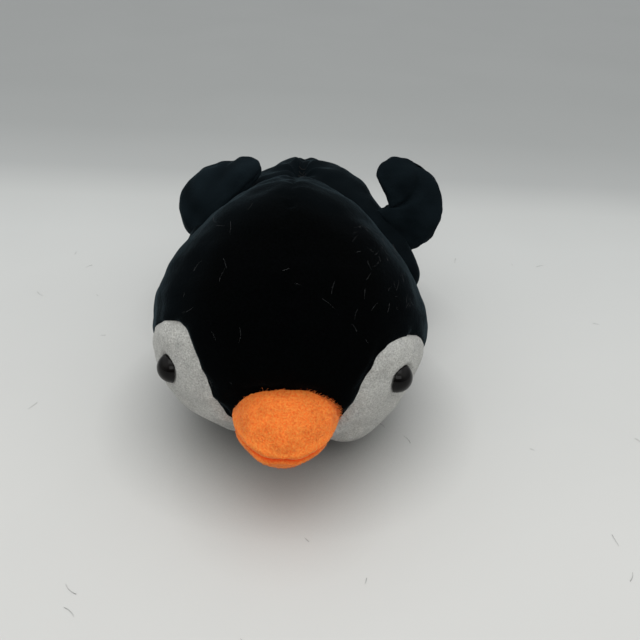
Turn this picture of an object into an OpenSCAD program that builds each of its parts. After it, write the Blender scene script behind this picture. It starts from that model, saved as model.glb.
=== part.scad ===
// Plush penguin lying on its belly. +Z is up, -Y is the way it faces, +X is the side of eye_right.
// The origin is on the floor, at the middle of the flat face that the belly rests on.

/* [Head] */
// Width of the head across the cheeks
head_w = 121; // [114:1:128]
// Length of the head, front to back
head_l = 118; // [112:1:122]
// Height of the head
head_h = 118; // [112:1:122]
// How much narrower the crown is than the cheeks
head_taper = 0.22; // [0.1:0.01:0.26]

/* [Face] */
// Diameter of the eye's dome
eye_d = 12; // [9:0.5:14]
// Height of the eye's dome
eye_rise = 5.5; // [4:0.5:6]
// Width of the beak where it is sewn on
beak_w = 43; // [38:1:50]
// Height of the beak where it is sewn on
beak_h = 31; // [28:1:38]
// How far the beak stands out from its seam
beak_reach = 24; // [20:1:30]

/* [Body] */
// Length of the body without its tail
body_l = 124; // [118:1:130]
// Width of the body behind the neck
shoulder_w = 134; // [124:1:140]
// Width of the body at its middle
waist_w = 80; // [74:1:90]
// Height of the back
body_h = 82; // [78:1:88]

/* [Limbs] */
// Width of a flipper
flipper_w = 33; // [28:1:34]
// Thickness of a flipper
flipper_t = 17; // [12:1:18]
// Length of a foot
foot_l = 44; // [38:1:50]
// Width of a foot
foot_w = 32; // [26:1:34]
// Length of the tail
tail_l = 36; // [30:1:44]

/* [Fabric] */
// Thickness of the plush, from its backing to the ends of its pile
plush_t = 2; // [1.5:0.1:2.5]

/* [Hidden] */

// Clearances: between the pieces of one body, between plush and stuffing, round a joint, and round
// the eye's stem and washer in the stuffing
fit_gap = 0.1;
stuffing_gap = 0.9;
joint_gap = 0.8;
eye_gap = 0.2;
// How far a cutting shape runs past the piece that it cuts
cut_past = 1;

// Colours
black_plush = [0.05, 0.06, 0.08];
white_plush = [0.86, 0.86, 0.84];
orange_plush = [1.0, 0.5, 0.16];
filling = [0.93, 0.92, 0.88];
eye_black = [0.04, 0.03, 0.03];
washer_white = [0.9, 0.9, 0.9];
thread_black = [0.08, 0.08, 0.09];

// Where things are along Y, measured from the middle of the head
head_y = -128;
neck_y = 50;
body_front_y = 66;
flipper_y = 88;
foot_y = 172;
foot_seam_y = 178;
tail_y = 180;
tail_seam_y = 184;

// Heights above the floor
head_z = 58;
neck_z = 50;
neck_r = 28;
// The pressed-flat underside dips this far before the floor trims it
floor_dip = 0.5;
floor_block = [400, 500, 20];

// How much more the head narrows above its middle, and how much fuller it is below
crown_narrowing = 0.13;
jowl_fullness = 1.03;

// The head's panels fan out from the lower edge of the beak, this far below straight ahead
fan_tilt = 34;
// Angles round the fan: the crown's edge over the cheek, and the seam between cheek and throat
cheek_angle = 45;
throat_angle = 140;
// Angles along the fan: where the cheek's edge starts to round off, turns down, and ends
cheek_round = 54;
cheek_turn = 71.5;
cheek_end = 88;
// The angle round the fan that the cheek's edge has reached where it turns down
cheek_turn_angle = 72;
// How sharply the cheek's edge rounds off, and how straight it runs down
cheek_sharpness = 4;
cheek_fall = 0.8;
// Beside the beak the crown's edge swings out by this much, between these angles along the fan
cheek_flare = 25;
cheek_front = 50;
cheek_side = 18;
// Angles along the fan over which the crown closes in behind the throat
throat_narrow = 105;
throat_end = 130;

// The beak is sewn on a little towards +X
beak_x = 2;
beak_z = 39;
beak_droop = 3;
beak_seam_y = -54;
beak_root_y = -42;
mouth_angle = 112;

// Where the eye is on the fan, and how far it is pulled into the cheek
eye_along = 51.5;
eye_round = 70;
eye_sink = 2.4;
stem_d = 4.4;
stem_rib_d = 5;
stem_l = 13;
// How far the stem runs up into the dome
stem_root = 1;
rib_count = 6;
rib_t = 0.6;
rib_pitch = 1.6;
washer_d = 14;
washer_t = 0.9;
washer_z = -(eye_sink + plush_t + fit_gap + washer_t);
// The dimple that the eye sits in
dimple_d = eye_d + 0.8;
dimple_wall_d = dimple_d + 2 * plush_t;
dimple_lip = 0.8;

// Widths of the body at its neck and rump, before the ends round off
body_neck_w = shoulder_w * 1.6;
rump_w = waist_w * 1.12;
// Heights of the back above the body's middle line, at the neck, the middle and the rump
neck_rise = 34;
back_rise = body_h - 36;
rump_rise = 27;
// The body's middle line: its height, how much higher it is at the neck, and the belly's extra depth
body_mid_z = 36;
body_mid_rise = 6;
belly_depth = 4;
// How blunt the body's ends, the belly's sides and the limbs' ends are: lower is blunter
body_bluntness = 0.6;
belly_bluntness = 0.7;
limb_bluntness = 0.7;
// How square the body's cross-section is: lower is squarer
section_squareness = 0.86;
// The side seam's angle from the top of the back, and where the body's panels start at the neck
side_seam_angle = 116;
neck_edge = 5;
stitch_start = 66;
stitch_count = 7;
stitch_pitch = 3;
stitch_l = 5;
stitch_d = 0.8;

// Flipper centre lines from the shoulder to the tip, for the right side, from the middle of the head
flipper_root = [54, flipper_y, 53];
flipper_right_line = [flipper_root, [64, 90, 61], [70, 93, 82], [41, 97, 91]];
flipper_left_line = [flipper_root, [60, 88, 61], [57, 88, 79], [22, 93, 90]];
// Which way each flipper's width lies
flipper_right_flat = [1, 0.1, 0];
flipper_left_flat = [1, 0.8, 0];
flipper_socket_r = 22.5;

foot_x = 25;
foot_z = 9;
foot_t = 16;
foot_splay = 6;
foot_socket_r = 18.5;
// Each limb's root is this far inside the body from its seam
root_depth = 8;
// The shares of a foot's or the tail's length at which its centre line is steered
near_share = 0.23;
far_share = 0.55;
foot_line = [
    [foot_x, foot_y - root_depth, foot_z],
    [foot_x, foot_y + foot_l * near_share, foot_z],
    [foot_x + foot_splay / 2, foot_y + foot_l * far_share, foot_z],
    [foot_x + foot_splay, foot_y + foot_l - root_depth, foot_z]
];

tail_z = 40;
tail_w = 30;
tail_t = 11;
tail_rise = 4;
tail_socket_r = 16;
tail_line = [
    [0, tail_y - root_depth, tail_z],
    [0, tail_y + tail_l * near_share, tail_z + tail_rise / 2],
    [0, tail_y + tail_l * far_share, tail_z + tail_rise],
    [0, tail_y + tail_l - root_depth, tail_z + tail_rise]
];

// Steps of the panels' grids
head_steps = [4, 12, 20, 30, 40, 48, 54, 60, 65, 68, 70, 71.5, 73, 75, 77.5, 80.5, 84, 88, 96, 105,
              113, 121, 130, 142, 155, 168, 180];
body_steps = [neck_edge, 10, 18, 28, 40, 53, 66, 78, 90, 102, 114, 127, 140, 152, 163, 172, 180];
limb_steps = [0, 14, 28, 45, 62, 80, 98, 116, 133, 149, 165, 180];
beak_steps = [0, 14, 28, 44, 60, 75, 90, 91];
// Columns of the panels' grids
crown_cols = 12;
cheek_cols = 7;
throat_cols = 8;
beak_upper_cols = 16;
beak_lower_cols = 8;
back_cols = 10;
belly_cols = 12;
limb_cols = 8;
// The angles round a ring of stuffing
trunk_ring = [0:12:348];
beak_ring = [0:15:345];
limb_ring = [0:22.5:337.5];

function mix(a, b, u) = a + (b - a) * u;
function clamp01(u) = min(1, max(0, u));
function share(t, from, to) = (t - from) / (to - from);
function unit(v) = v / norm(v);
function up_to(list, end) = [for (v = list) if (v <= end) v];

// The first value below the floor is trimmed; an inner face stays a plush thickness above it
function above_floor(z, inset) = max(z, inset > 0 ? inset : -floor_dip);

// A value that is front at 0 degrees, middle at 90 and back at 180, and smooth between
function swell(t, front, middle, back) =
    (front + back) / 4 + middle / 2 + (front - back) / 2 * cos(t)
    + ((front + back) / 4 - middle / 2) * cos(2 * t);

// Points of the head. t is the angle along the fan and p the angle round it, from the top.
function fan_direction(t, p) =
    let (x = sin(t) * sin(p), y = -cos(t), z = sin(t) * cos(p))
    [x, y * cos(fan_tilt) - z * sin(fan_tilt), y * sin(fan_tilt) + z * cos(fan_tilt)];
function crown_taper(rise) = 1 - head_taper * rise - (rise > 0 ? crown_narrowing * rise * rise : 0);
function head_at(t, p, inset) =
    let (d = fan_direction(t, p))
    [
        (head_w / 2 - inset) * d.x * crown_taper(d.y * sin(fan_tilt) + d.z * cos(fan_tilt)),
        head_y + (head_l / 2 - inset) * d.y,
        above_floor(head_z + (head_h / 2 - inset) * d.z * (d.z < 0 ? jowl_fullness : 1), inset)
    ];

// The edge of the crown over the cheek, which rounds off at the back of the cheek
function cheek_top(t) =
    t < cheek_front ? cheek_angle + cheek_flare * pow(min(1, share(t, cheek_front, cheek_side)), 3)
    : t < cheek_round ? cheek_angle
    : t < cheek_turn
        ? mix(cheek_angle, cheek_turn_angle, pow(share(t, cheek_round, cheek_turn), cheek_sharpness))
    : t < cheek_end
        ? mix(cheek_turn_angle, throat_angle, pow(share(t, cheek_turn, cheek_end), cheek_fall))
    : throat_angle;
// The seam between the throat and the cheek, then between the throat and the crown
function throat_edge(t) =
    mix(throat_angle, 180, clamp01(share(t, throat_narrow, throat_end)));
function crown_edge(t) = t < cheek_end ? cheek_top(t) : throat_edge(t);

// Points of the beak. t is the angle from its tip, and past 90 the root inside the head.
function beak_at(t, p, inset) =
    let (a = min(t, 90))
    [
        beak_x + (beak_w / 2 - inset) * sin(a) * sin(p),
        head_y + (t > 90 ? beak_root_y : beak_seam_y - (beak_reach - inset) * cos(a)),
        beak_z - beak_droop * cos(a) + (beak_h / 2 - inset) * sin(a) * cos(p)
    ];

// Points of the body. t is the angle from the neck to the tail, and p the angle round it, from the top.
function body_at(t, p, inset) =
    let (
        half_w = swell(t, body_neck_w, waist_w, rump_w) / 2 - inset,
        mid_z = body_mid_z + body_mid_rise * cos(t),
        up = swell(t, neck_rise, back_rise, rump_rise) - inset,
        down = mid_z + belly_depth - inset,
        end = pow(sin(t), body_bluntness),
        s = sin(p),
        c = cos(p)
    )
    [
        half_w * end * sign(s) * pow(abs(s), section_squareness),
        head_y + body_front_y + body_l / 2 - (body_l / 2 - inset) * cos(t),
        above_floor(mid_z + (c > 0 ? up * end * c : -down * end * pow(-c, belly_bluntness)), inset)
    ];

// Points of a limb that follows a curved centre line, with its width along flat
function bend(l, u) =
    pow(1 - u, 3) * l[0] + 3 * pow(1 - u, 2) * u * l[1] + 3 * (1 - u) * u * u * l[2] + pow(u, 3) * l[3];
function heading(l, u) =
    unit(pow(1 - u, 2) * (l[1] - l[0]) + 2 * (1 - u) * u * (l[2] - l[1]) + u * u * (l[3] - l[2]));
function across(flat, ahead) = unit(flat - (flat * ahead) * ahead);
function limb_at(l, flat, half_w, half_t, t, p, inset) =
    let (
        u = (1 - cos(t)) / 2,
        ahead = heading(l, u),
        wide = across(flat, ahead),
        thick = cross(wide, ahead),
        end = pow(sin(t), limb_bluntness)
    )
    bend(l, u) + [0, head_y, 0] + ahead * inset * cos(t)
    + wide * (half_w - inset) * end * sin(p) + thick * (half_t - inset) * end * cos(p);

// A closed shell between an outer and an inner grid of points. A grid's last row may close to a
// point, and so may its first.
module quilt(outer, inner, closed_start = false, closed_end = false) {
    rows = len(outer);
    cols = len(outer[0]);
    shut = [for (i = [0:rows - 1]) (closed_start && i == 0) || (closed_end && i == rows - 1)];
    points = concat([for (r = outer) each r], [for (r = inner) each r]);
    function at(side, i, j) = (side * rows + i) * cols + (shut[i] ? 0 : j);
    sheet = [
        for (i = [0:rows - 2], j = [0:cols - 2]) each [
            if (!shut[i]) [at(0, i, j), at(0, i + 1, j + 1), at(0, i, j + 1)],
            if (!shut[i + 1]) [at(0, i, j), at(0, i + 1, j), at(0, i + 1, j + 1)],
            if (!shut[i]) [at(1, i, j), at(1, i, j + 1), at(1, i + 1, j + 1)],
            if (!shut[i + 1]) [at(1, i, j), at(1, i + 1, j + 1), at(1, i + 1, j)]
        ]
    ];
    long_edges = [
        for (i = [0:rows - 2]) each [
            [at(0, i, 0), at(1, i + 1, 0), at(0, i + 1, 0)],
            [at(0, i, 0), at(1, i, 0), at(1, i + 1, 0)],
            [at(0, i, cols - 1), at(0, i + 1, cols - 1), at(1, i + 1, cols - 1)],
            [at(0, i, cols - 1), at(1, i + 1, cols - 1), at(1, i, cols - 1)]
        ]
    ];
    end_edges = [
        for (j = [0:cols - 2]) each [
            if (!closed_start) [at(0, 0, j), at(1, 0, j + 1), at(1, 0, j)],
            if (!closed_start) [at(0, 0, j), at(0, 0, j + 1), at(1, 0, j + 1)],
            if (!closed_end) [at(0, rows - 1, j), at(1, rows - 1, j), at(1, rows - 1, j + 1)],
            if (!closed_end) [at(0, rows - 1, j), at(1, rows - 1, j + 1), at(0, rows - 1, j + 1)]
        ]
    ];
    polyhedron(points, concat(sheet, long_edges, end_edges), convexity = 6);
}

// A solid inside rings of points, closed at each end by a point or by a flat ring
module filled(rings, closed_start = true, closed_end = true) {
    rows = len(rings);
    cols = len(rings[0]);
    shut = [for (i = [0:rows - 1]) (closed_start && i == 0) || (closed_end && i == rows - 1)];
    function at(i, j) = i * cols + (shut[i] ? 0 : j % cols);
    skin = [
        for (i = [0:rows - 2], j = [0:cols - 1]) each [
            if (!shut[i]) [at(i, j), at(i + 1, j + 1), at(i, j + 1)],
            if (!shut[i + 1]) [at(i, j), at(i + 1, j), at(i + 1, j + 1)]
        ]
    ];
    start_cap = closed_start ? [] : [[for (j = [0:cols - 1]) j]];
    end_cap = closed_end ? [] : [[for (j = [cols - 1:-1:0]) (rows - 1) * cols + j]];
    polyhedron([for (r = rings) each r], concat(skin, start_cap, end_cap), convexity = 6);
}

module below_floor() {
    translate([-floor_block.x / 2, -floor_block.y / 2, -floor_block.z]) cube(floor_block);
}

module joint_socket(centre, r) {
    translate([0, head_y, 0] + centre) sphere(r = r, $fn = 48);
}

module neck_socket() {
    joint_socket([0, neck_y, neck_z], neck_r + joint_gap);
}

// The sockets that the flippers, the feet and the tail turn in
module limb_sockets() {
    for (side = [-1, 1]) {
        joint_socket([side * flipper_root.x, flipper_root.y, flipper_root.z], flipper_socket_r);
        joint_socket([side * foot_x, foot_seam_y, foot_z], foot_socket_r);
    }
    joint_socket([0, tail_seam_y, tail_z], tail_socket_r);
}

// The straight-sided opening in the head that the beak's root fills
module beak_opening() {
    outline = [for (p = beak_ring) [
        beak_x + (beak_w / 2 + fit_gap) * sin(p), beak_z + (beak_h / 2 + fit_gap) * cos(p)
    ]];
    translate([0, head_y + beak_root_y + fit_gap, 0]) rotate([90, 0, 0])
        linear_extrude(head_l / 2) polygon(outline);
}

// Places its children on the cheek with +Z straight out of the head
module on_cheek() {
    spot = head_at(eye_along, eye_round, 0);
    d = fan_direction(eye_along, eye_round);
    out = unit([d.x / head_w, d.y / head_l, d.z / head_h]);
    translate(spot) rotate([0, acos(out.z), atan2(out.y, out.x)]) children();
}

module head_panel(steps, low, high, cols, closed_end) {
    grid = function (inset) [
        for (t = steps) [for (j = [0:cols]) head_at(t, mix(low(t), high(t), j / cols), inset)]
    ];
    difference() {
        quilt(grid(0), grid(plush_t), false, closed_end);
        beak_opening();
        neck_socket();
        below_floor();
    }
}

module crown_right() {
    color(black_plush) head_panel(head_steps, function (t) 0, function (t) crown_edge(t),
                                  crown_cols, true);
}

module cheek_right() {
    color(white_plush) difference() {
        union() {
            head_panel(up_to(head_steps, cheek_end), function (t) cheek_top(t),
                       function (t) throat_angle, cheek_cols, true);
            on_cheek() translate([0, 0, -eye_sink - plush_t])
                cylinder(h = eye_sink + plush_t - dimple_lip, d = dimple_wall_d, $fn = 32);
        }
        on_cheek() translate([0, 0, -eye_sink]) cylinder(h = 3 * eye_sink, d = dimple_d, $fn = 32);
        on_cheek() translate([0, 0, -eye_sink - plush_t - cut_past])
            cylinder(h = plush_t + 2 * cut_past, d = stem_d + 2 * fit_gap, $fn = 24);
    }
}

module throat_panel() {
    color(white_plush) head_panel(up_to(head_steps, throat_end), function (t) throat_edge(t),
                                  function (t) 360 - throat_edge(t), throat_cols, true);
}

module head_stuffing() {
    rings = [
        for (t = concat([0], head_steps)) [for (p = trunk_ring) head_at(t, p, plush_t + stuffing_gap)]
    ];
    color(filling) difference() {
        filled(rings);
        beak_opening();
        neck_socket();
        for (side = [0, 1]) mirror([side, 0, 0]) on_cheek() {
            translate([0, 0, -eye_sink - stem_l - cut_past])
                cylinder(h = stem_l, d = stem_rib_d + 2 * eye_gap, $fn = 24);
            translate([0, 0, washer_z - fit_gap])
                cylinder(h = -washer_z, d = washer_d + 2 * eye_gap, $fn = 32);
            translate([0, 0, -eye_sink - plush_t - fit_gap])
                cylinder(h = 2 * eye_sink, d = dimple_wall_d + 2 * fit_gap, $fn = 32);
        }
    }
}

module beak_panel(low, high, cols) {
    grid = function (inset) [
        for (t = beak_steps) [for (j = [0:cols]) beak_at(t, mix(low, high, j / cols), inset)]
    ];
    color(orange_plush) quilt(grid(0), grid(plush_t), true, false);
}

module beak_upper() {
    beak_panel(-mouth_angle, mouth_angle, beak_upper_cols);
}

module beak_lower() {
    beak_panel(mouth_angle, 360 - mouth_angle, beak_lower_cols);
}

module beak_stuffing() {
    rings = [for (t = beak_steps) [for (p = beak_ring) beak_at(t, p, plush_t + stuffing_gap)]];
    color(filling) filled(rings, true, false);
}

module eye_right() {
    dome_r = (pow(eye_d / 2, 2) + pow(eye_rise, 2)) / (2 * eye_rise);
    color(eye_black) on_cheek() {
        intersection() {
            translate([0, 0, fit_gap - eye_sink + eye_rise - dome_r]) sphere(r = dome_r, $fn = 48);
            translate([0, 0, fit_gap - eye_sink])
                cylinder(h = eye_rise + cut_past, d = eye_d + cut_past, $fn = 48);
        }
        translate([0, 0, -eye_sink - stem_l]) cylinder(h = stem_l + stem_root, d = stem_d, $fn = 24);
        for (i = [0:rib_count - 1])
            translate([0, 0, washer_z - fit_gap - rib_t - i * rib_pitch])
                cylinder(h = rib_t, d = stem_rib_d, $fn = 24);
    }
}

// The washer is held between the stem's first rib and the inside of the plush
module eye_washer_right() {
    color(washer_white) on_cheek() translate([0, 0, washer_z]) difference() {
        cylinder(h = washer_t, d = washer_d, $fn = 48);
        translate([0, 0, -cut_past])
            cylinder(h = washer_t + 2 * cut_past, d = stem_d + fit_gap, $fn = 24);
    }
}

module neck_stuffing() {
    color(filling) translate([0, head_y + neck_y, neck_z]) sphere(r = neck_r, $fn = 48);
}

module body_panel(low, high, cols) {
    grid = function (inset) [
        for (t = body_steps) [for (j = [0:cols]) body_at(t, mix(low, high, j / cols), inset)]
    ];
    difference() {
        quilt(grid(0), grid(plush_t), false, true);
        neck_socket();
        limb_sockets();
        below_floor();
    }
}

module back_right() {
    color(black_plush) body_panel(0, side_seam_angle, back_cols);
}

module belly_panel() {
    color(white_plush) body_panel(side_seam_angle, 360 - side_seam_angle, belly_cols);
}

module body_stuffing() {
    rings = [
        for (t = concat([0], body_steps)) [for (p = trunk_ring) body_at(t, p, plush_t + stuffing_gap)]
    ];
    color(filling) difference() {
        filled(rings);
        neck_socket();
        limb_sockets();
    }
}

// The rungs of a ladder stitch across the centre back seam
module closing_stitch() {
    color(thread_black) for (i = [0:stitch_count - 1]) {
        t = stitch_start + i * stitch_pitch;
        translate(body_at(t, 0, -stitch_d / 2 - fit_gap))
            rotate([0, 90, 0]) cylinder(h = stitch_l, d = stitch_d, center = true, $fn = 16);
    }
}

module limb_panel(l, flat, half_w, half_t, low, high) {
    grid = function (inset) [
        for (t = limb_steps) [
            for (j = [0:limb_cols])
                limb_at(l, flat, half_w, half_t, t, mix(low, high, j / limb_cols), inset)
        ]
    ];
    quilt(grid(0), grid(plush_t), true, true);
}

module limb_stuffing(l, flat, half_w, half_t) {
    inset = plush_t + stuffing_gap;
    rings = [
        for (t = limb_steps) [for (p = limb_ring) limb_at(l, flat, half_w, half_t, t, p, inset)]
    ];
    color(filling) filled(rings);
}

// The left flipper is given for the right side too, and mirrored where it is used
module flipper_left_panel(low, high) {
    color(black_plush)
        limb_panel(flipper_left_line, flipper_left_flat, flipper_w / 2, flipper_t / 2, low, high);
}

module flipper_left_stuffing() {
    limb_stuffing(flipper_left_line, flipper_left_flat, flipper_w / 2, flipper_t / 2);
}

module flipper_right_panel(low, high) {
    color(black_plush)
        limb_panel(flipper_right_line, flipper_right_flat, flipper_w / 2, flipper_t / 2, low, high);
}

module flipper_right_stuffing() {
    limb_stuffing(flipper_right_line, flipper_right_flat, flipper_w / 2, flipper_t / 2);
}

module foot_panel(low, high) {
    color(orange_plush) limb_panel(foot_line, [1, 0, 0], foot_w / 2, foot_t / 2, low, high);
}

module foot_stuffing() {
    limb_stuffing(foot_line, [1, 0, 0], foot_w / 2, foot_t / 2);
}

module tail_panel(low, high) {
    color(black_plush) limb_panel(tail_line, [1, 0, 0], tail_w / 2, tail_t / 2, low, high);
}

module tail_stuffing() {
    limb_stuffing(tail_line, [1, 0, 0], tail_w / 2, tail_t / 2);
}

module left() {
    mirror([1, 0, 0]) children();
}

left() crown_right();  // crown_left
crown_right();
left() cheek_right();  // cheek_left
cheek_right();
throat_panel();
head_stuffing();
beak_upper();
beak_lower();
beak_stuffing();
left() eye_right();  // eye_left
eye_right();
left() eye_washer_right();  // eye_washer_left
eye_washer_right();
neck_stuffing();
left() back_right();  // back_left
back_right();
belly_panel();
body_stuffing();
closing_stitch();
left() flipper_left_panel(-90, 90);  // flipper_left_outer
left() flipper_left_panel(90, 270);  // flipper_left_inner
left() flipper_left_stuffing();
flipper_right_panel(-90, 90);  // flipper_right_outer
flipper_right_panel(90, 270);  // flipper_right_inner
flipper_right_stuffing();
left() foot_panel(-90, 90);  // foot_left_top
left() foot_panel(90, 270);  // foot_left_sole
left() foot_stuffing();  // foot_left_stuffing
foot_panel(-90, 90);  // foot_right_top
foot_panel(90, 270);  // foot_right_sole
foot_stuffing();  // foot_right_stuffing
tail_panel(-90, 90);  // tail_top
tail_panel(90, 270);  // tail_under
tail_stuffing();
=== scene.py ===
import math
import bpy
import bmesh
import numpy as np
from mathutils import Matrix, Vector


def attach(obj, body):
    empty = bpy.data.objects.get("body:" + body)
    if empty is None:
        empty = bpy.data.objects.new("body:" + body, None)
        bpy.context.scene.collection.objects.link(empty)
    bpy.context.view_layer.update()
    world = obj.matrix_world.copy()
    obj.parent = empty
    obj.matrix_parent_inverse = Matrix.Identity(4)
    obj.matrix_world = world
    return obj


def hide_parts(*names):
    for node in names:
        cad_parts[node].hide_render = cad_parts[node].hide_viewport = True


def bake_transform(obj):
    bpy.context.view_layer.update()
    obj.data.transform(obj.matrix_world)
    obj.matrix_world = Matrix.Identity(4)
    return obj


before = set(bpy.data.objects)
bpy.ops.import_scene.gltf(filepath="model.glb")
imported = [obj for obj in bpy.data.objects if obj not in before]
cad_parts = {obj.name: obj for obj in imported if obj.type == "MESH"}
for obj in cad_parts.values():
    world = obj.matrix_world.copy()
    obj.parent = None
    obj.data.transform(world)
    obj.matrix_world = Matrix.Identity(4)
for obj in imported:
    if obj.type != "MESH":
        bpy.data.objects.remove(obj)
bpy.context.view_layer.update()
MM = 0.001
HEAD_Y = -128.0
rng = np.random.default_rng(7)


# ---------------------------------------------------------------- small helpers
def sind(a):
    return np.sin(np.radians(a))


def cosd(a):
    return np.cos(np.radians(a))


def mix(a, b, u):
    return a + (b - a) * u


def ease(a, b, x):
    u = np.clip((x - a) / (b - a), 0, 1)
    return u * u * (3 - 2 * u)


def unit(v):
    return v / np.maximum(np.linalg.norm(v, axis=-1, keepdims=True), 1e-9)


def stack(x, y, z):
    return np.stack(np.broadcast_arrays(x, y, z), axis=-1).astype(float)


def waves(p, length, count, seed):
    """A smooth random field of about unit size over the points p, with features about that long, in mm."""
    r = np.random.default_rng(seed)
    out = np.zeros(p.shape[:-1])
    for _ in range(count):
        d = r.normal(size=3)
        d /= np.linalg.norm(d)
        k = 2 * math.pi / (length * r.uniform(0.7, 1.5))
        out += np.cos(p @ d * k + r.uniform(0, 6.28))
    return out * math.sqrt(2 / count)


def soft_floor(p, rest=0.25, round_by=1.6):
    """Presses points that would be below the floor flat on it, with a small rounding at the edge."""
    z = p[..., 2] - rest
    q = p.copy()
    q[..., 2] = rest + 0.5 * (z + np.sqrt(z * z + round_by * round_by)) - 0.5 * round_by * np.exp(-np.maximum(z, 0) / 6)
    q[..., 2] = np.maximum(q[..., 2], 0.02)
    return q


# ---------------------------------------------------------------- the CAD's shapes, in mm
HEAD = np.array([121.0, 118.0, 118.0])
FAN_TILT = 34.0
CHEEK_END = 88.0
THROAT = 140.0
EYE_T, EYE_P = 51.5, 70.0
BEAK = dict(x=2.0, w=42.0, h=32.2, reach=24.0, z=40.2, droop=3.0, seam=-54.0, root=-42.0, mouth=112.0)


def fan(t, p):
    x, y, z = sind(t) * sind(p), -cosd(t), sind(t) * cosd(p)
    c, s = cosd(FAN_TILT), sind(FAN_TILT)
    return stack(x, y * c - z * s, y * s + z * c)


def head_base(t, p):
    d = fan(t, p)
    rise = d[..., 1] * sind(FAN_TILT) + d[..., 2] * cosd(FAN_TILT)
    taper = 1 - 0.22 * rise - np.where(rise > 0, 0.13 * rise * rise, 0)
    return stack(HEAD[0] / 2 * d[..., 0] * taper, HEAD_Y + HEAD[1] / 2 * d[..., 1],
                 58 + HEAD[2] / 2 * d[..., 2] * np.where(d[..., 2] < 0, 1.03, 1))


def head_out(t, p):
    return unit(fan(t, p) / HEAD)


def cheek_top(t, sharpness=4, low=45):
    t = np.asarray(t, float)
    front = mix(low, 70, np.clip((52 - t) / 34, 0, 1) ** 2.6)
    a = mix(low, 72, np.clip((t - 52) / 19.5, 0, 1) ** sharpness)
    b = mix(72, 140, np.clip((t - 71.5) / 16.5, 0, 1) ** 0.8)
    return np.where(t < 52, front, np.where(t < 71.5, a, np.where(t < 88, b, 140)))


def throat_edge(t):
    return mix(140, 180, np.clip((np.asarray(t, float) - 105) / 25, 0, 1))


def crown_edge(t, sharpness=4, low=45):
    return np.where(np.asarray(t) < CHEEK_END, cheek_top(t, sharpness, low), throat_edge(t))


def swell(t, f, m, b):
    return (f + b) / 4 + m / 2 + (f - b) / 2 * cosd(t) + ((f + b) / 4 - m / 2) * cosd(2 * t)


def body_base(t, p):
    half_w = swell(t, 134 * 0.8, 40, 80 * 0.56)
    mid_z = 36 + 6 * cosd(t)
    up = swell(t, 34, 46, 27)
    down = mid_z + 4
    end = np.maximum(sind(t), 0) ** 0.6
    c = cosd(p)
    z = mid_z + np.where(c > 0, up * end * c, -down * end * np.maximum(-c, 0) ** 0.7)
    s = sind(p)
    return stack(half_w * end * np.sign(s) * np.abs(s) ** 0.86, HEAD_Y + 66 + 62 - 62 * cosd(t), z)


NECK_RING = dict(y=HEAD_Y + 62, z=48.0, w=34.0, h=30.0)


def body_skin_base(t, p):
    """The body, with its front drawn in to the ring where the head is sewn on."""
    b = body_base(t, p)
    ring = stack(NECK_RING["w"] * sind(p) * np.ones_like(t), NECK_RING["y"] * np.ones_like(t + p),
                 NECK_RING["z"] + NECK_RING["h"] * cosd(p) * np.ones_like(t))
    s = (ease(0, 34, t + 0 * p) ** 0.7)[..., None]
    return ring * (1 - s) + b * s


def bezier(line, u):
    l = [np.array(q, float) for q in line]
    u = u[..., None]
    return (1 - u) ** 3 * l[0] + 3 * (1 - u) ** 2 * u * l[1] + 3 * (1 - u) * u * u * l[2] + u ** 3 * l[3]


def bezier_heading(line, u):
    l = [np.array(q, float) for q in line]
    u = u[..., None]
    return unit((1 - u) ** 2 * (l[1] - l[0]) + 2 * (1 - u) * u * (l[2] - l[1]) + u * u * (l[3] - l[2]))


def limb_base(line, flat, half_w, half_t, t, p, web=0.0):
    """Points and outward directions of a limb. web is how much its inner edge widens where it is sewn on."""
    u = (1 - cosd(t)) / 2
    ahead = bezier_heading(line, u)
    f = np.array(flat, float)
    wide = unit(f - (ahead @ f)[..., None] * ahead)
    thick = np.cross(wide, ahead)
    end = (np.maximum(sind(t), 0) ** np.where(t < 90, 0.3, 0.7))[..., None]
    sp, cp = sind(p)[..., None], cosd(p)[..., None]
    sp = sp * (1 + web * (sp < 0) * (1 - ease(20, 85, t))[..., None])
    point = bezier(line, u) + np.array([0, HEAD_Y, 0]) + end * (wide * half_w * sp + thick * half_t * cp)
    out = unit(wide * sp * half_t + thick * cp * half_w - ahead * (cosd(t) * (1 - end[..., 0]) * 8)[..., None])
    return point, out


# ---------------------------------------------------------------- meshes
def mesh_from(name, chunks, mat, smooth=True, painted_light=None):
    """One object from chunks of (points in mm, faces). The last argument holds a 0 to 1 value for each point: how much
    painted sheen or painted shade its material mixes in there.
    """
    verts, faces, n = [], [], 0
    for points, fs in chunks:
        points = np.asarray(points).reshape(-1, 3)
        verts.append(points * MM)
        faces += [tuple(i + n for i in f) for f in fs]
        n += len(points)
    me = bpy.data.meshes.new(name)
    me.from_pydata(np.concatenate(verts).tolist(), [], faces)
    me.validate()
    if smooth:
        me.polygons.foreach_set("use_smooth", [True] * len(me.polygons))
    # painted light: a 0 to 1 mask of painted sheen and painted shade, read by the plush materials
    if painted_light is not None:
        me.attributes.new("painted_light", "FLOAT", "POINT").data.foreach_set("value", np.clip(painted_light, 0, 1).ravel())
    ob = bpy.data.objects.new(name, me)
    bpy.context.scene.collection.objects.link(ob)
    ob.data.materials.append(mat)
    return ob


def tubes(name, curves, radius, mat, sides=3):
    """One object of thin tapered fibres. Each curve is a row of points in mm."""
    chunks = []
    turn = np.arange(sides) * 2 * math.pi / sides
    for curve in curves:
        ahead = unit(np.gradient(curve, axis=0))
        x = unit(np.cross(ahead, np.array([0.31, 0.52, 0.79])))
        y = np.cross(ahead, x)
        thick = radius * np.linspace(1.0, 0.35, len(curve))[:, None, None]
        ring = curve[:, None] + thick * (np.cos(turn)[None, :, None] * x[:, None] + np.sin(turn)[None, :, None] * y[:, None])
        chunks.append((ring, grid_faces(len(curve), sides, around=True)))
    return mesh_from(name, chunks, mat)


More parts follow.
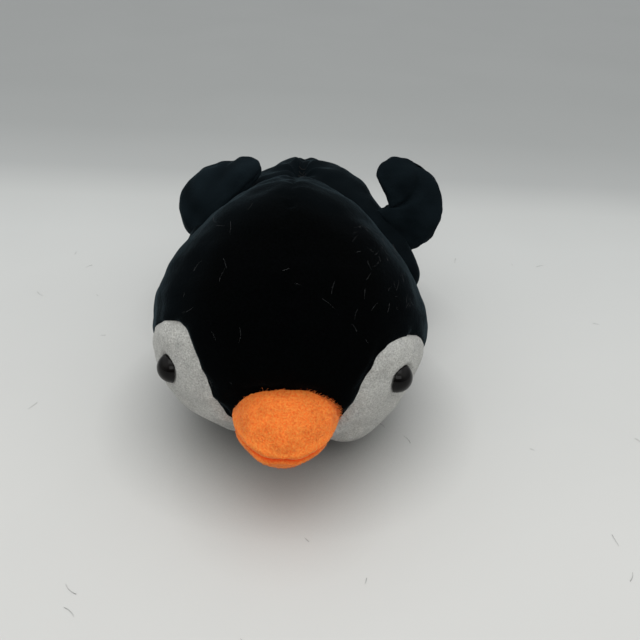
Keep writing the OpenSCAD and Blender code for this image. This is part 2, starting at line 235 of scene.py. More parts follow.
def grid_faces(rows, cols, start_shut=False, end_shut=False, around=False):
    faces = []
    last = cols if around else cols - 1
    for i in range(rows - 1):
        for j in range(last):
            k = (j + 1) % cols
            a, b, c, d = i * cols + j, i * cols + k, (i + 1) * cols + k, (i + 1) * cols + j
            if start_shut and i == 0:
                faces.append((0, c, d))
            elif end_shut and i == rows - 2:
                faces.append((a, b, (i + 1) * cols))
            else:
                faces.append((a, b, c, d))
    return faces


def grid_normals(p):
    """Normals of a grid of points, from its own slopes."""
    n = np.cross(np.gradient(p, axis=0), np.gradient(p, axis=1))
    return unit(n)


def edge_distance(p):
    """How far each point of a grid is from its first and its last column, along its row, in mm."""
    step = np.linalg.norm(np.diff(p, axis=1), axis=-1)
    along = np.concatenate([np.zeros((p.shape[0], 1)), np.cumsum(step, axis=1)], axis=1)
    return along, along[:, -1:] - along


def seam_dip(d, depth=1.5, width=2.4):
    """How far the plush dips into a seam that is d mm away."""
    return -depth * np.exp(-(d / width) ** 1.3)


def crowd(n, power=0.5):
    """n + 1 values from 0 to 1, closer together at both ends."""
    u = np.linspace(0, 1, n + 1)
    return mix(u, 0.5 - 0.5 * np.cos(math.pi * u), power)


# ---------------------------------------------------------------- cloth: how the stuffing puffs the panels
def puffed(points, faces, pinned, pressure, cap, slack=0.0, frames=20):
    """Points moved by a short Cloth run with air pressure and no gravity, each by at most cap mm."""
    me = bpy.data.meshes.new("cloth_run")
    me.from_pydata((points * MM).tolist(), [], faces)
    ob = bpy.data.objects.new("cloth_run", me)
    bpy.context.scene.collection.objects.link(ob)
    group = ob.vertex_groups.new(name="pins")
    for i, w in enumerate(pinned):
        if w > 0.01:
            group.add([i], float(w), "REPLACE")
    mod = ob.modifiers.new("cloth", "CLOTH")
    s = mod.settings
    s.quality = 6
    s.mass = 0.15
    s.tension_stiffness = s.compression_stiffness = 12
    s.shear_stiffness = 5
    s.bending_stiffness = 0.15
    s.use_pressure = True
    s.uniform_pressure_force = pressure
    s.effector_weights.gravity = 0
    s.vertex_group_mass = "pins"
    s.pin_stiffness = 1
    s.shrink_min = -slack
    mod.collision_settings.use_collision = False
    scene = bpy.context.scene
    for f in range(1, frames + 1):
        scene.frame_set(f)
    done = ob.evaluated_get(bpy.context.evaluated_depsgraph_get()).to_mesh()
    co = np.empty(len(done.vertices) * 3)
    done.vertices.foreach_get("co", co)
    moved = co.reshape(-1, 3) / MM - points
    scene.frame_set(1)
    bpy.data.objects.remove(ob)
    bpy.data.meshes.remove(me)
    size = np.linalg.norm(moved, axis=1, keepdims=True)
    return moved * np.where(size > 0, cap * np.tanh(size / cap) / np.maximum(size, 1e-6), 0)


def sampled(field, rows, cols, t, p, wrap):
    """A field on a coarse grid (t by rows, p by cols) read smoothly at the points t, p."""
    def weights(f):
        return [((-f + 2) * f - 1) * f / 2, ((3 * f - 5) * f * f + 2) / 2, ((-3 * f + 4) * f + 1) * f / 2, (f - 1) * f * f / 2]
    i = np.interp(t, rows, np.arange(len(rows)))
    i0 = np.clip(np.floor(i).astype(int), 0, len(rows) - 2)
    if wrap:
        j = np.mod(p, 360) / 360 * len(cols)
        j0 = np.floor(j).astype(int)
    wi, wj = weights(i - i0), weights(j - j0)
    out = 0
    for a in range(4):
        for b in range(4):
            r = np.clip(i0 + a - 1, 0, len(rows) - 1)
            c = np.mod(j0 + b - 1, len(cols))
            out = out + (wi[a] * wj[b])[..., None] * field[r, c]
    return out


def puff_field(base, rows, count, pin, pressure, cap, slack):
    """The puffing of a closed skin as a field over (t, p)."""
    cols = np.arange(count) * 360.0 / count
    t, p = np.meshgrid(rows, cols, indexing="ij")
    points = base(t, p)
    moved = puffed(points.reshape(-1, 3), grid_faces(len(rows), count, around=True), pin(t, p, points).ravel(),
                   pressure, cap, slack)
    return moved.reshape(points.shape), rows, cols


# ---------------------------------------------------------------- materials
def new_material(name):
    m = bpy.data.materials.new(name)
    m.use_nodes = True
    nt = m.node_tree
    return m, nt, nt.nodes["Principled BSDF"]


def link(nt, a, b):
    nt.links.new(a, b)


def noise_node(nt, scale, detail=3.0, rough=0.55, stretch=None, distortion=0.0):
    """Noise over the object's own coordinates, with scale in features per metre."""
    tc = nt.nodes.new("ShaderNodeTexCoord")
    src = tc.outputs["Object"]
    if stretch:
        mp = nt.nodes.new("ShaderNodeMapping")
        mp.inputs["Scale"].default_value = stretch
        link(nt, src, mp.inputs["Vector"])
        src = mp.outputs["Vector"]
    n = nt.nodes.new("ShaderNodeTexNoise")
    n.inputs["Scale"].default_value = scale
    n.inputs["Detail"].default_value = detail
    n.inputs["Roughness"].default_value = rough
    n.inputs["Distortion"].default_value = distortion
    link(nt, src, n.inputs["Vector"])
    return n.outputs["Fac"]


def ramp(nt, fac, stops):
    r = nt.nodes.new("ShaderNodeValToRGB")
    e = r.color_ramp.elements
    while len(e) < len(stops):
        e.new(0.5)
    for k, (pos, col) in zip(e, stops):
        k.position = pos
        k.color = (*col, 1)
    link(nt, fac, r.inputs["Fac"])
    return r.outputs["Color"]


def blend_colour(nt, fac, a, b, mode="MIX"):
    m = nt.nodes.new("ShaderNodeMix")
    m.data_type = "RGBA"
    m.blend_type = mode
    for key, v in ((0, fac), (6, a), (7, b)):
        if hasattr(v, "links"):
            link(nt, v, m.inputs[key])
        elif isinstance(v, (int, float)):
            m.inputs[key].default_value = v
        else:
            m.inputs[key].default_value = (*v, 1)
    return m.outputs[2]


def bumps(nt, bsdf, layers):
    """layers: (height output, strength, distance in mm), the finest last."""
    last = None
    for height, strength, distance in layers:
        b = nt.nodes.new("ShaderNodeBump")
        b.inputs["Strength"].default_value = strength
        b.inputs["Distance"].default_value = distance * MM
        link(nt, height, b.inputs["Height"])
        if last is not None:
            link(nt, last, b.inputs["Normal"])
        last = b.outputs["Normal"]
    link(nt, last, bsdf.inputs["Normal"])


def plush_material(name, dark, light, tuft, sheen, tint, bump, sheen_rough=0.35, level=0.25, seam=None):
    """Short-pile fabric: colour that varies with its tufts and with the lie of its pile, and a soft sheen. A seam
    colour, when given, is painted light, mixed in by the mesh's 0 to 1 mask.
    """
    m, nt, b = new_material(name)
    fine = noise_node(nt, 1000 / tuft, 4, 0.6)
    coarse = noise_node(nt, 1000 / (tuft * 7), 3, 0.5)
    lie = noise_node(nt, 1000 / (tuft * 2.2), 3, 0.6, stretch=(1.0, 0.4, 1.0))
    base = ramp(nt, fine, [(0.3, dark), (0.68, light)])
    shade = ramp(nt, coarse, [(0.3, (0.82, 0.82, 0.83)), (0.7, (1.0, 1.0, 1.0))])
    base = blend_colour(nt, 1.0, base, shade, "MULTIPLY")
    # painted light: the mesh's mask mixes the seam colour into the base colour, as painted sheen or painted shade
    if seam:
        painted_light = nt.nodes.new("ShaderNodeAttribute")
        painted_light.attribute_name = "painted_light"
        base = blend_colour(nt, painted_light.outputs["Fac"], base, seam)
    link(nt, base, b.inputs["Base Color"])
    b.inputs["Roughness"].default_value = 0.9
    b.inputs["Specular IOR Level"].default_value = level
    b.inputs["Sheen Weight"].default_value = sheen
    b.inputs["Sheen Roughness"].default_value = sheen_rough
    b.inputs["Sheen Tint"].default_value = (*tint, 1)
    bumps(nt, b, [(coarse, 0.35, bump * 1.2), (lie, 0.5, bump), (fine, 0.8, bump)])
    return m


# the black's seam colour is painted sheen: a teal grey mixed in away from the crown's front, and on the back, flippers
# and tail
BLACK = plush_material("black_velboa", (0.0001, 0.0002, 0.0002), (0.0006, 0.0009, 0.0011), 1.1, 0.11, (0.45, 0.70, 0.84), 0.35, 0.22, 0.02,
                       seam=(0.0066, 0.0112, 0.0145))
WHITE = plush_material("white_velboa", (0.33, 0.33, 0.31), (0.66, 0.66, 0.63), 0.75, 0.12, (1, 1, 1), 0.8)
# the orange's seam colour is painted shade: a deeper red-orange along the beak's mouth seam
ORANGE = plush_material("orange_pile", (0.95, 0.145, 0.013), (1.0, 0.33, 0.06), 0.8, 0.35, (1.0, 0.66, 0.40), 0.6,
                        seam=(1.0, 0.10, 0.008))


def eye_material():
    m, nt, b = new_material("eye_plastic")
    v = noise_node(nt, 260, 2)
    link(nt, ramp(nt, v, [(0.3, (0.0010, 0.0009, 0.0009)), (0.7, (0.0026, 0.0018, 0.0016))]), b.inputs["Base Color"])
    scuff = noise_node(nt, 900, 4)
    r = nt.nodes.new("ShaderNodeMapRange")
    r.inputs["To Min"].default_value = 0.03
    r.inputs["To Max"].default_value = 0.08
    link(nt, scuff, r.inputs["Value"])
    link(nt, r.outputs["Result"], b.inputs["Roughness"])
    b.inputs["Specular IOR Level"].default_value = 0.16
    bumps(nt, b, [(noise_node(nt, 150, 2), 0.05, 0.1)])
    return m


def plain_fabric(name, a, b_, size, rough=0.9):
    m, nt, b = new_material(name)
    n = noise_node(nt, 1000 / size, 5, 0.65)
    link(nt, ramp(nt, n, [(0.3, a), (0.7, b_)]), b.inputs["Base Color"])
    b.inputs["Roughness"].default_value = rough
    bumps(nt, b, [(n, 0.7, 0.5)])
    return m


EYE = eye_material()
FILLING = plain_fabric("polyester_filling", (0.66, 0.65, 0.62), (0.86, 0.85, 0.82), 2.2)
WASHER = plain_fabric("washer_plastic", (0.72, 0.72, 0.70), (0.78, 0.78, 0.76), 6, 0.45)
THREAD = plain_fabric("black_thread", (0.0008, 0.0008, 0.0010), (0.0030, 0.0030, 0.0034), 0.5, 0.8)

# ---------------------------------------------------------------- the head
EYE_SIDES = {"left": -1, "right": 1}
eye_spot = head_base(np.array(EYE_T), np.array(EYE_P))
eye_out = head_out(np.array(EYE_T), np.array(EYE_P))
# Neither eye sits exactly where the pattern puts it: how far each is moved, outwards being positive
EYE_SHIFT = {-1: np.array([0.7, 2.2, -2.0]), 1: np.array([0.5, 0.6, -1.2])}
EYE_TURN = {-1: np.array([0.25, 0.25, 0.26]), 1: np.array([0.18, 0.25, 0.12])}
EYE_PROUD = 0.3
HEAD_ROWS = np.concatenate([np.arange(0.5, 54, 1.5), np.arange(54, 90, 0.6), np.arange(90, 180.1, 1.5)])


def puff_at(t, p):
    """How far the plush of the head has puffed out at one place."""
    return sampled(head_puff, head_puff_rows, head_puff_cols, np.array([float(t)]), np.array([float(p) % 360]), True)[0]


def eye_dimple(q):
    """How far the cheek is pulled in round the eye's stem."""
    out = np.zeros(q.shape[:-1])
    for side in (-1, 1):
        rel = q - (eye_spot + EYE_SHIFT[side]) * np.array([side, 1, 1])
        n = eye_out * np.array([side, 1, 1])
        r = np.linalg.norm(rel - (rel @ n)[..., None] * n, axis=-1)
        near = rel @ n > -20
        out -= np.where(near, 1.5 * (1 - ease(5.2, 8.2, r)), 0)
    return out


def beak_distance(q):
    """How far each point is outside the beak's seam, in mm, near the front of the head."""
    a, b = BEAK["w"] / 2, BEAK["h"] / 2
    x, z = q[..., 0] - BEAK["x"], q[..., 2] - BEAK["z"]
    r = np.hypot(x / a, z / b)
    d = (r - 1) * np.hypot(x, z) / np.maximum(r, 1e-6)
    return np.where(q[..., 1] < HEAD_Y - 20, d, 99.0)


def crown_folds(t, p, q):
    """The folds where the head's back is pressed against the body."""
    side = np.minimum(np.mod(p, 360), 360 - np.mod(p, 360))
    out = np.zeros(q.shape[:-1])
    for at, depth, width, reach, bow in ((139, 0.7, 2.0, 62, 5), (131, 0.45, 1.9, 52, 4)):
        d = t - at - bow * (side / reach) ** 2
        out -= depth * np.exp(-(d / width) ** 2) * (1 - ease(reach * 0.55, reach, side))
        out += 0.45 * depth * np.exp(-((d - 2.3 * width) / (1.5 * width)) ** 2) * (1 - ease(reach * 0.55, reach, side))
    return out


def slump(q):
    """The filling has settled low on one side, and left the cheeks a little slack by the eyes."""
    out = np.zeros(q.shape[:-1])
    for centre, size, rise in (((34, -163, 12), 16, 5.0), ((57, -150, 37), 14, -2.0), ((-60, -150, 54), 13, -2.4),
                               ((-60, -124, 54), 18, 1.8), ((61, -122, 44), 20, 2.8)):
        d = np.linalg.norm(q - np.array(centre), axis=-1)
        out += rise * np.exp(-(d / size) ** 2)
    return out


def head_pins(t, p, q):
    side = np.minimum(p, 360 - p)
    near = np.minimum(np.abs(side - 0), np.abs(side - crown_edge(t))) * sind(t)
    near = np.where(t < 130, np.minimum(near, np.abs(side - throat_edge(t)) * sind(t)), near)
    w = 1 - ease(1.5, 5, near)
    w = np.maximum(w, 1 - ease(1, 4, q[..., 2]))
    w = np.maximum(w, 1 - ease(0, 8, beak_distance(q)))
    return np.clip(np.maximum(w, ease(-84, -76, q[..., 1])), 0, 1)


head_puff, head_puff_rows, head_puff_cols = puff_field(
    head_base, np.concatenate([[2], np.arange(6, 176, 4.6), [178]]), 72, head_pins, 3.0, 2.6, 0.012)


def to_neck(q):
    """The back of the head drawn to the ring where it is sewn to the body."""
    r = np.hypot(q[..., 0] / NECK_RING["w"], (q[..., 2] - NECK_RING["z"]) / NECK_RING["h"])
    f = (1 - ease(1.0, 1.75, r)) * ease(-125, -90, q[..., 1])
    q = q.copy()
    q[..., 1] += (NECK_RING["y"] - q[..., 1]) * f
    return q


def head_panel(name, node, low, high, cols, rows, side, mat, seam_low, seam_high):
    """One plush panel of the head. side mirrors it; seam_low and seam_high are the depths of its seams."""
    t = rows[:, None] * np.ones((1, cols + 1))
    p = mix(low(rows)[:, None], high(rows)[:, None], crowd(cols)[None, :])
    q = head_base(t, p)
    out = head_out(t, p)
    d0, d1 = edge_distance(q)
    full = p if side > 0 else 360 - p
    q = q + sampled(head_puff, head_puff_rows, head_puff_cols, t, full, True) * np.array([side, 1, 1])
    m = q * np.array([side, 1, 1])
    # painted sheen: the crown's colour turns a lighter teal grey away from its front centre
    front = np.linalg.norm((m - np.array([4, -168, 78])) / np.array([42, 40, 52]), axis=-1)
    painted_sheen = 0.5 * ease(0.7, 1.8, front) * (1 + 0.18 * waves(m, 20, 12, 7))
    dip = seam_dip(d0, seam_low) + seam_dip(d1, seam_high)
    pucker = np.exp(-d0 / 4.5) * (seam_low > 0) + np.exp(-d1 / 4.5) * (seam_high > 0)
    dip = dip + 0.22 * pucker * waves(m, 6.5, 12, 3) + 0.32 * waves(m, 24, 10, 5) + 0.10 * waves(m, 9, 12, 6)
    dip = dip + eye_dimple(q) + crown_folds(t, full, q) + slump(m)
    b = beak_distance(q)
    dip = dip - 0.8 * np.exp(-(np.abs(b) / 2.0) ** 1.5) + 0.5 * np.exp(-((b - 5) / 3.5) ** 2)
    q = soft_floor(to_neck(q + out * dip[..., None]))
    q = q * np.array([side, 1, 1])
    faces = grid_faces(*q.shape[:2])
    if side < 0:
        faces = [f[::-1] for f in faces]
    ob = mesh_from(name, [(q, faces)], mat, painted_light=painted_sheen)
    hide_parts(node)
    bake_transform(ob)
    return ob


front_rows = HEAD_ROWS[HEAD_ROWS <= CHEEK_END]
throat_rows = HEAD_ROWS[HEAD_ROWS <= 130]
zero = lambda t: 0 * t
PATCH_SHAPE = {"left": (4.0, 43.5), "right": (2.1, 46.0)}
for name, side in EYE_SIDES.items():
    top_edge = lambda t, shape=PATCH_SHAPE[name]: cheek_top(t, *shape)
    crown_low = lambda t, shape=PATCH_SHAPE[name]: crown_edge(t, *shape)
    ob = head_panel(f"crown_{name}_skin", f"crown_{name}", zero, crown_low, 64, HEAD_ROWS, side, BLACK, 0.7, 1.1)
    ob = head_panel(f"cheek_{name}_skin", f"cheek_{name}", top_edge, lambda t: 0 * t + THROAT, 44, front_rows, side, WHITE, 1.1, 1.2)
ob = head_panel("throat_skin", "throat_panel", throat_edge, lambda t: 360 - throat_edge(t), 56, throat_rows, 1, WHITE, 1.2, 1.2)

# ---------------------------------------------------------------- the beak


def beak_base(t, p):
    a = np.minimum(t, 90)
    low = ease(80, 125, np.abs(np.mod(p + 180, 360) - 180))
    lean = np.where(sind(p) > 0, -3.4, -1.3) * low * sind(a) ** 2
    y = np.where(t > 90, BEAK["seam"] + (t - 90) / 10 * (BEAK["root"] - BEAK["seam"]), BEAK["seam"] - BEAK["reach"] * cosd(a))
    return stack(BEAK["x"] + BEAK["w"] / 2 * sind(a) * sind(p) + lean * np.abs(sind(p)), HEAD_Y + y, BEAK["z"] - BEAK["droop"] * cosd(a) + BEAK["h"] / 2 * sind(a) * cosd(p))


def beak_out(t, p):
    a = np.minimum(t, 90)
    return unit(stack(sind(a) * sind(p) / BEAK["w"] * 2, -cosd(a) / BEAK["reach"], sind(a) * cosd(p) / BEAK["h"] * 2))


def beak_panel(name, node, cols):
    rows = np.concatenate([[0.3], np.arange(1.5, 90, 1.5), [90, 92, 95, 100]])
    t = rows[:, None] * np.ones((1, cols + 1))
    upper = node == "beak_upper"
    corner = BEAK["mouth"] - 15 * ease(3, 32, rows)[:, None]
    low, high = (-corner, corner) if upper else (corner, 360 - corner)
    p = mix(low, high, crowd(cols, 0.4)[None, :])
    q = beak_base(t, p)
    out = beak_out(t, p)
    d0, d1 = edge_distance(q)
    near = np.minimum(d0, d1)
    dip = -2.0 * np.exp(-(near / 0.8) ** 1.2) + (0.9 if upper else 0.4) * np.exp(-((near - 2.8) / 1.9) ** 2)
    dip = dip + 0.07 * waves(q, 1.5, 26, 11) + 0.06 * waves(q, 0.9, 26, 12) + 0.25 * waves(q, 16, 8, 13)
    dip = dip - 0.3 * ease(84, 92, t)
    q = q + out * dip[..., None]
    # painted shade: the mouth seam's groove gets a deeper red-orange colour
    mouth = np.exp(-(near / 1.1) ** 2) * (1 - ease(80, 90, t))
    ob = mesh_from(name, [(q, grid_faces(*q.shape[:2]))], ORANGE, painted_light=mouth)
    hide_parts(node)
    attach(ob, "head")
    return ob


beak_panel("beak_upper_skin", "beak_upper", 150)
beak_panel("beak_lower_skin", "beak_lower", 80)


def beak_pile(count, fringe):
    """Short curly fibres all over the beak, and longer ones that fray over the seam with the head."""
    r = np.random.default_rng(17)
    curves = []
    for k in range(count + fringe):
        frayed = k >= count
        t = np.array(r.uniform(82, 90) if frayed else np.degrees(np.arccos(r.uniform(0, 1))))
        p = np.array(r.uniform(-30, 100) if frayed else r.uniform(-180, 180))
        if abs(abs(p) - BEAK["mouth"] + 15 * ease(3, 32, t)) * sind(t) * BEAK["w"] / 115 < 1.3:
            continue
        root, out = beak_base(t, p), beak_out(t, p)
        lie = unit(r.normal(size=3) * 0.8 + np.array([0.2, 0.5, 0.2]))
        length = r.uniform(1.2, 2.6) if frayed else r.uniform(0.7, 1.2)
        ahead = unit(out * (0.7 if frayed else 0.45) + lie * (0.5 if frayed else 0.75))
        curl = unit(np.cross(ahead, r.normal(size=3)))
        step = np.linspace(0, 1, 4)[:, None]
        root = root + out * (0.25 * waves(root, 16, 8, 13) - 0.35)
        curves.append(root + ahead * length * step + curl * 0.35 * length * step * step)
    ob = tubes("beak_pile", curves, 0.12, ORANGE)
    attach(ob, "head")


beak_pile(7500, 650)

# ---------------------------------------------------------------- the eyes


def eye_mesh(name, side):
    """A safety eye: a dome with a rolled rim, on a ribbed stem."""
    r, rise, base = 6.6, 5.6, -1.9
    dome_r = (r * r + rise * rise) / (2 * rise)
    profile = [(0.02, base + rise)]
    top = math.asin(min(1, r / dome_r)) if rise <= r else math.pi - math.asin(r / dome_r)
    for k in range(1, 29):
        a = top * k / 28
        profile.append((dome_r * math.sin(a), base + rise - dome_r * (1 - math.cos(a))))
    profile += [(6.72, base - 0.15), (6.7, base - 0.4), (6.3, base - 0.55), (2.2, base - 0.6)]
    z = base - 2.4
    for _ in range(6):
        profile += [(2.2, z), (2.5, z - 0.1), (2.5, z - 0.6), (2.2, z - 0.7)]
        z -= 1.6
    profile += [(2.2, z), (0.02, z)]
    n = unit(eye_out + EYE_TURN[side]) * np.array([side, 1, 1])
    x = unit(np.cross(np.array([0, 0, 1.0]), n))
    y = np.cross(n, x)
    centre = (eye_spot + EYE_SHIFT[side] + puff_at(EYE_T, EYE_P) + eye_out * EYE_PROUD) * np.array([side, 1, 1])
    count = 64
    a = np.arange(count) * 2 * math.pi / count
    rings = [centre + n * h + rr * (np.cos(a)[:, None] * x + np.sin(a)[:, None] * y) for rr, h in profile]
    faces = [f[::-1] for f in grid_faces(len(rings), count, around=True)]
    ob = mesh_from(name, [(np.array(rings), faces)], EYE)
    return ob


for name, side in EYE_SIDES.items():
    ob = eye_mesh(f"eye_{name}_dome", side)
    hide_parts(f"eye_{name}")
    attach(ob, "head")

# ---------------------------------------------------------------- the body
BODY_ROWS = np.concatenate([np.arange(0.5, 44, 1.5), np.arange(44, 84, 0.8), np.arange(84, 172, 1.5), np.arange(172, 180, 0.9)])


def body_out(t, p):
    e = 0.5
    du = body_skin_base(np.clip(t + e, 0.1, 179.8), p) - body_skin_base(np.clip(t - e, 0.1, 179.8), p)
    dv = body_skin_base(t, p + e) - body_skin_base(t, p - e)
    return unit(np.cross(dv, du))


STITCH = body_base(np.array(75.0), np.array(0.0)) + np.array([-1.5, 0, 0])


def closing_pucker(q):
    """The pulled ladder stitch in the centre back, with folds running into it."""
    rel = q - STITCH
    x, y = rel[..., 0], rel[..., 1] / 1.6
    r = np.hypot(x, y)
    angle = np.arctan2(y, x)
    top = ease(STITCH[2] - 26, STITCH[2] - 6, q[..., 2])
    hole = -5.0 * np.exp(-(np.hypot(x / 1.5, rel[..., 1] / 2.8) / 3.2) ** 2)
    pleats = 1.5 * np.cos(7 * angle + 0.7 * np.sin(2 * angle) + 0.05 * r) * ease(1.5, 8, r) * np.exp(-(r / 17) ** 2)
    pleats += 0.7 * np.cos(13 * angle + 1.3) * ease(1, 5, r) * np.exp(-(r / 10) ** 2)
    return (hole + pleats) * top


def body_pins(t, p, q):
    side = np.minimum(p, 360 - p)
    near = np.minimum(side, np.abs(side - 116)) * sind(t)
    w = 1 - ease(1.5, 5, near)
    w = np.maximum(w, 1 - ease(1, 4, q[..., 2]))
    return np.clip(np.maximum(w, 1 - ease(12, 26, t)), 0, 1)


body_puff, body_puff_rows, body_puff_cols = puff_field(
    body_skin_base, np.concatenate([[2], np.arange(6, 176, 4.6), [178]]), 64, body_pins, 3.0, 2.6, 0.02)


def back_shape(q):
    """The back's fuller right side, the dip in its crest over the closing stitch, and the right shoulder."""
    out = np.zeros(q.shape[:-1])
    for centre, size, rise in (((0, 8, 80), 30, -1.6), ((30, -10, 72), 17, 3.6), ((-8, 8, 80), 7, -3.0), ((-14, 6, 78), 12, -1.0), ((69, -50, 23), 15, 6.5)):
        d = np.linalg.norm(q - np.array(centre), axis=-1)
        out += rise * np.exp(-(d / size) ** 2)
    return out


def body_panel(name, node, low, high, cols, mat):
    t = BODY_ROWS[:, None] * np.ones((1, cols + 1))
    p = mix(low, high, crowd(cols))[None, :] * np.ones((len(BODY_ROWS), 1))
    q = body_skin_base(t, p)
    out = body_out(t, p)
    d0, d1 = edge_distance(q)
    dip = seam_dip(d0, 1.3) + seam_dip(d1, 1.3)
    q = q + sampled(body_puff, body_puff_rows, body_puff_cols, t, p, True)
    pucker = np.exp(-d0 / 5) + np.exp(-d1 / 5)
    dip = dip + 0.3 * pucker * waves(q, 7, 12, 21) + 0.6 * waves(q, 26, 10, 22) + 0.15 * waves(q, 10, 12, 23)
    dip = dip + closing_pucker(q) + back_shape(q) - 2.0 * np.exp(-(t / 9) ** 2)
    q = soft_floor(q + out * dip[..., None])
    # painted sheen: teal grey mixed into the black back panels, a little wavy; the white belly has no colour for it
    ob = mesh_from(name, [(q, grid_faces(*q.shape[:2]))], mat, painted_light=0.42 + 0.06 * waves(q, 18, 12, 8))
    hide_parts(node)
    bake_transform(ob)
    return ob


body_panel("back_right_skin", "back_right", 0, 116, 72, BLACK)
body_panel("belly_skin", "belly_panel", 116, 244, 72, WHITE)
body_panel("back_left_skin", "back_left", 244, 360, 72, BLACK)



def surface_height(x, y):
    """The height of the finished back over the point (x, y), in mm."""
    best = []
    for name in ("back_left_skin", "back_right_skin"):
        me = bpy.data.objects[name].data
        co = np.empty(len(me.vertices) * 3)
        me.vertices.foreach_get("co", co)
        co = co.reshape(-1, 3) / MM
        co = co[co[:, 2] > 50]
        d = np.hypot(co[:, 0] - x, co[:, 1] - y)
        k = np.argsort(d)[:3]
        best += [(d[i], co[i, 2]) for i in k]
    best = sorted(best)[:4]
    return sum(z / (d + 0.05) for d, z in best) / sum(1 / (d + 0.05) for d, z in best)


def ladder_stitch(count, length, spacing):
    """Rungs of thread pulled tight across the centre back seam, at the bottom of its pucker."""
    rungs = []
    for k in range(count):
        y = STITCH[1] + (k - (count - 1) / 2) * spacing
        xs = np.linspace(-length / 2, length / 2, 7)
        rungs.append(np.array([(x, y + 0.12 * x, surface_height(x, y + 0.12 * x) + 0.2) for x in xs]))
    ob = tubes("closing_rungs", rungs, 0.32, THREAD, 6)
    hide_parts("closing_stitch")
    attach(ob, "torso")


ladder_stitch(7, 4.6, 3.0)

# ---------------------------------------------------------------- the stuffing, which follows the plush


def filling(name, node, points, shut_faces, side=1):
    ob = mesh_from(name, [(points * np.array([side, 1, 1]), shut_faces)], FILLING)
    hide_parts(node)
    return ob


def closed_grid(base, rows, inset):
    p, t = np.meshgrid(np.arange(0, 360, 6.0), rows)
    q = base(t, p)
    centre = q.mean(axis=1, keepdims=True)
    away = q - centre
    size = np.linalg.norm(away, axis=-1, keepdims=True)
    q = centre + away * np.maximum(size - inset, 0.3 * size) / np.maximum(size, 1e-6)
    q[..., 2] = np.maximum(q[..., 2], 3)
    return q, grid_faces(len(rows), 60, around=True)


# ---------------------------------------------------------------- flippers, feet and tail
RIGHT_LINE = [(54, 88, 53), (64, 90, 60), (75, 93, 82), (42, 97, 89)]
LEFT_LINE = [(54, 88, 53), (60, 88, 61), (57, 88, 79), (22, 93, 90)]
FOOT_LINE = [(25, 164, 9), (25, 182.12, 9), (28, 196.2, 9), (31, 208, 9)]
TAIL_LINE = [(0, 172, 40), (0, 188.28, 42), (0, 199.8, 44), (0, 208, 44)]


def limb_panels(stem, words, nodes, line, flat, half_w, half_t, side, mat, crease=(), seed=31, web=0.0):
    rows = np.concatenate([[0.5], np.arange(3, 178, 2.2), [179.5]])
    for word, node, low in zip(words, nodes, (-90, 90)):
        cols = 44
        t = rows[:, None] * np.ones((1, cols + 1))
        p = (low + 180 * crowd(cols, 0.7))[None, :] * np.ones((len(rows), 1))
        q, out = limb_base(line, flat, half_w, half_t, t, p, web)
        m = q * np.array([side, 1, 1])
        d0, d1 = edge_distance(q)
        dip = seam_dip(d0, 1.0, 1.6) + seam_dip(d1, 1.0, 1.6)
        pucker = np.exp(-d0 / 4) + np.exp(-d1 / 4)
        dip = dip + 0.22 * pucker * waves(m, 6, 12, seed) + 0.45 * waves(m, 15, 10, seed + 1) + 0.12 * waves(m, 6, 10, seed + 2)
        for at, depth, width, face in crease:
            if face == word:
                dip = dip - depth * np.exp(-((t - at - 16 * sind(p)) / width) ** 2) * np.exp(-(sind(p) / 1.05) ** 6)
        q = soft_floor(q + out * dip[..., None])
        q = q * np.array([side, 1, 1])
        faces = grid_faces(*q.shape[:2])
        if side > 0:
            faces = [f[::-1] for f in faces]
        # painted sheen: a teal grey on the black flippers and tail, stronger than on the back
        painted_light = (0.75 + 0.1 * waves(m, 16, 12, 9)) * (mat is BLACK)
        ob = mesh_from(f"{stem}_{word}_skin", [(q, faces)], mat, painted_light=painted_light)
        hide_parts(node)
        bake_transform(ob)
    fill_rows = np.arange(20, 150, 6.0)
    fill, faces = closed_grid(lambda t, p: limb_base(line, flat, half_w * 0.72, half_t * 0.52, t, p)[0], fill_rows, 0)
    ob = filling(f"{stem}_filling", f"{stem}_stuffing", fill, faces, side)
    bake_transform(ob)


limb_panels("flipper_right", ("outer", "inner"), ("flipper_right_outer", "flipper_right_inner"), RIGHT_LINE,
            (1, 0.1, 0), 16.5, 8.5, 1, BLACK,
            crease=((110, 2.8, 6, "outer"), (112, 1.2, 9, "inner")), seed=31, web=0.45)
limb_panels("flipper_left", ("outer", "inner"), ("flipper_left_outer", "flipper_left_inner"), LEFT_LINE,
            (1, 0.8, 0), 16.5, 8.5, -1, BLACK,
            crease=((122, 1.8, 7, "outer"), (120, 1.2, 9, "inner")), seed=41, web=0.3)
for name, side in EYE_SIDES.items():
    limb_panels(f"foot_{name}", ("top", "sole"), (f"foot_{name}_top", f"foot_{name}_sole"), FOOT_LINE, (1, 0, 0),
                16, 8, side, ORANGE, seed=51)
limb_panels("tail", ("top", "under"), ("tail_top", "tail_under"), TAIL_LINE, (1, 0, 0), 15, 5.5, 1, BLACK,
            seed=61)

q, faces = closed_grid(lambda t, p: head_base(t, p), np.arange(22, 142, 4.0), 8.0)
q[..., 1] = np.minimum(q[..., 1], NECK_RING["y"] - 32)
ob = filling("head_filling", "head_stuffing", q, faces)
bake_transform(ob)
q, faces = closed_grid(body_skin_base, np.arange(14, 158, 4.0), 10.0)
q[..., 0] *= 0.6
q[..., 1] = np.maximum(q[..., 1], NECK_RING["y"] + 26)
ob = filling("body_filling", "body_stuffing", q, faces)
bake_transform(ob)


def neck_ball(t, p):
    """A ball of filling small enough to stay inside the neck at every pose."""
    return stack(19 * sind(t) * sind(p), HEAD_Y + 50 - 19 * cosd(t), 47 + 19 * sind(t) * cosd(p))


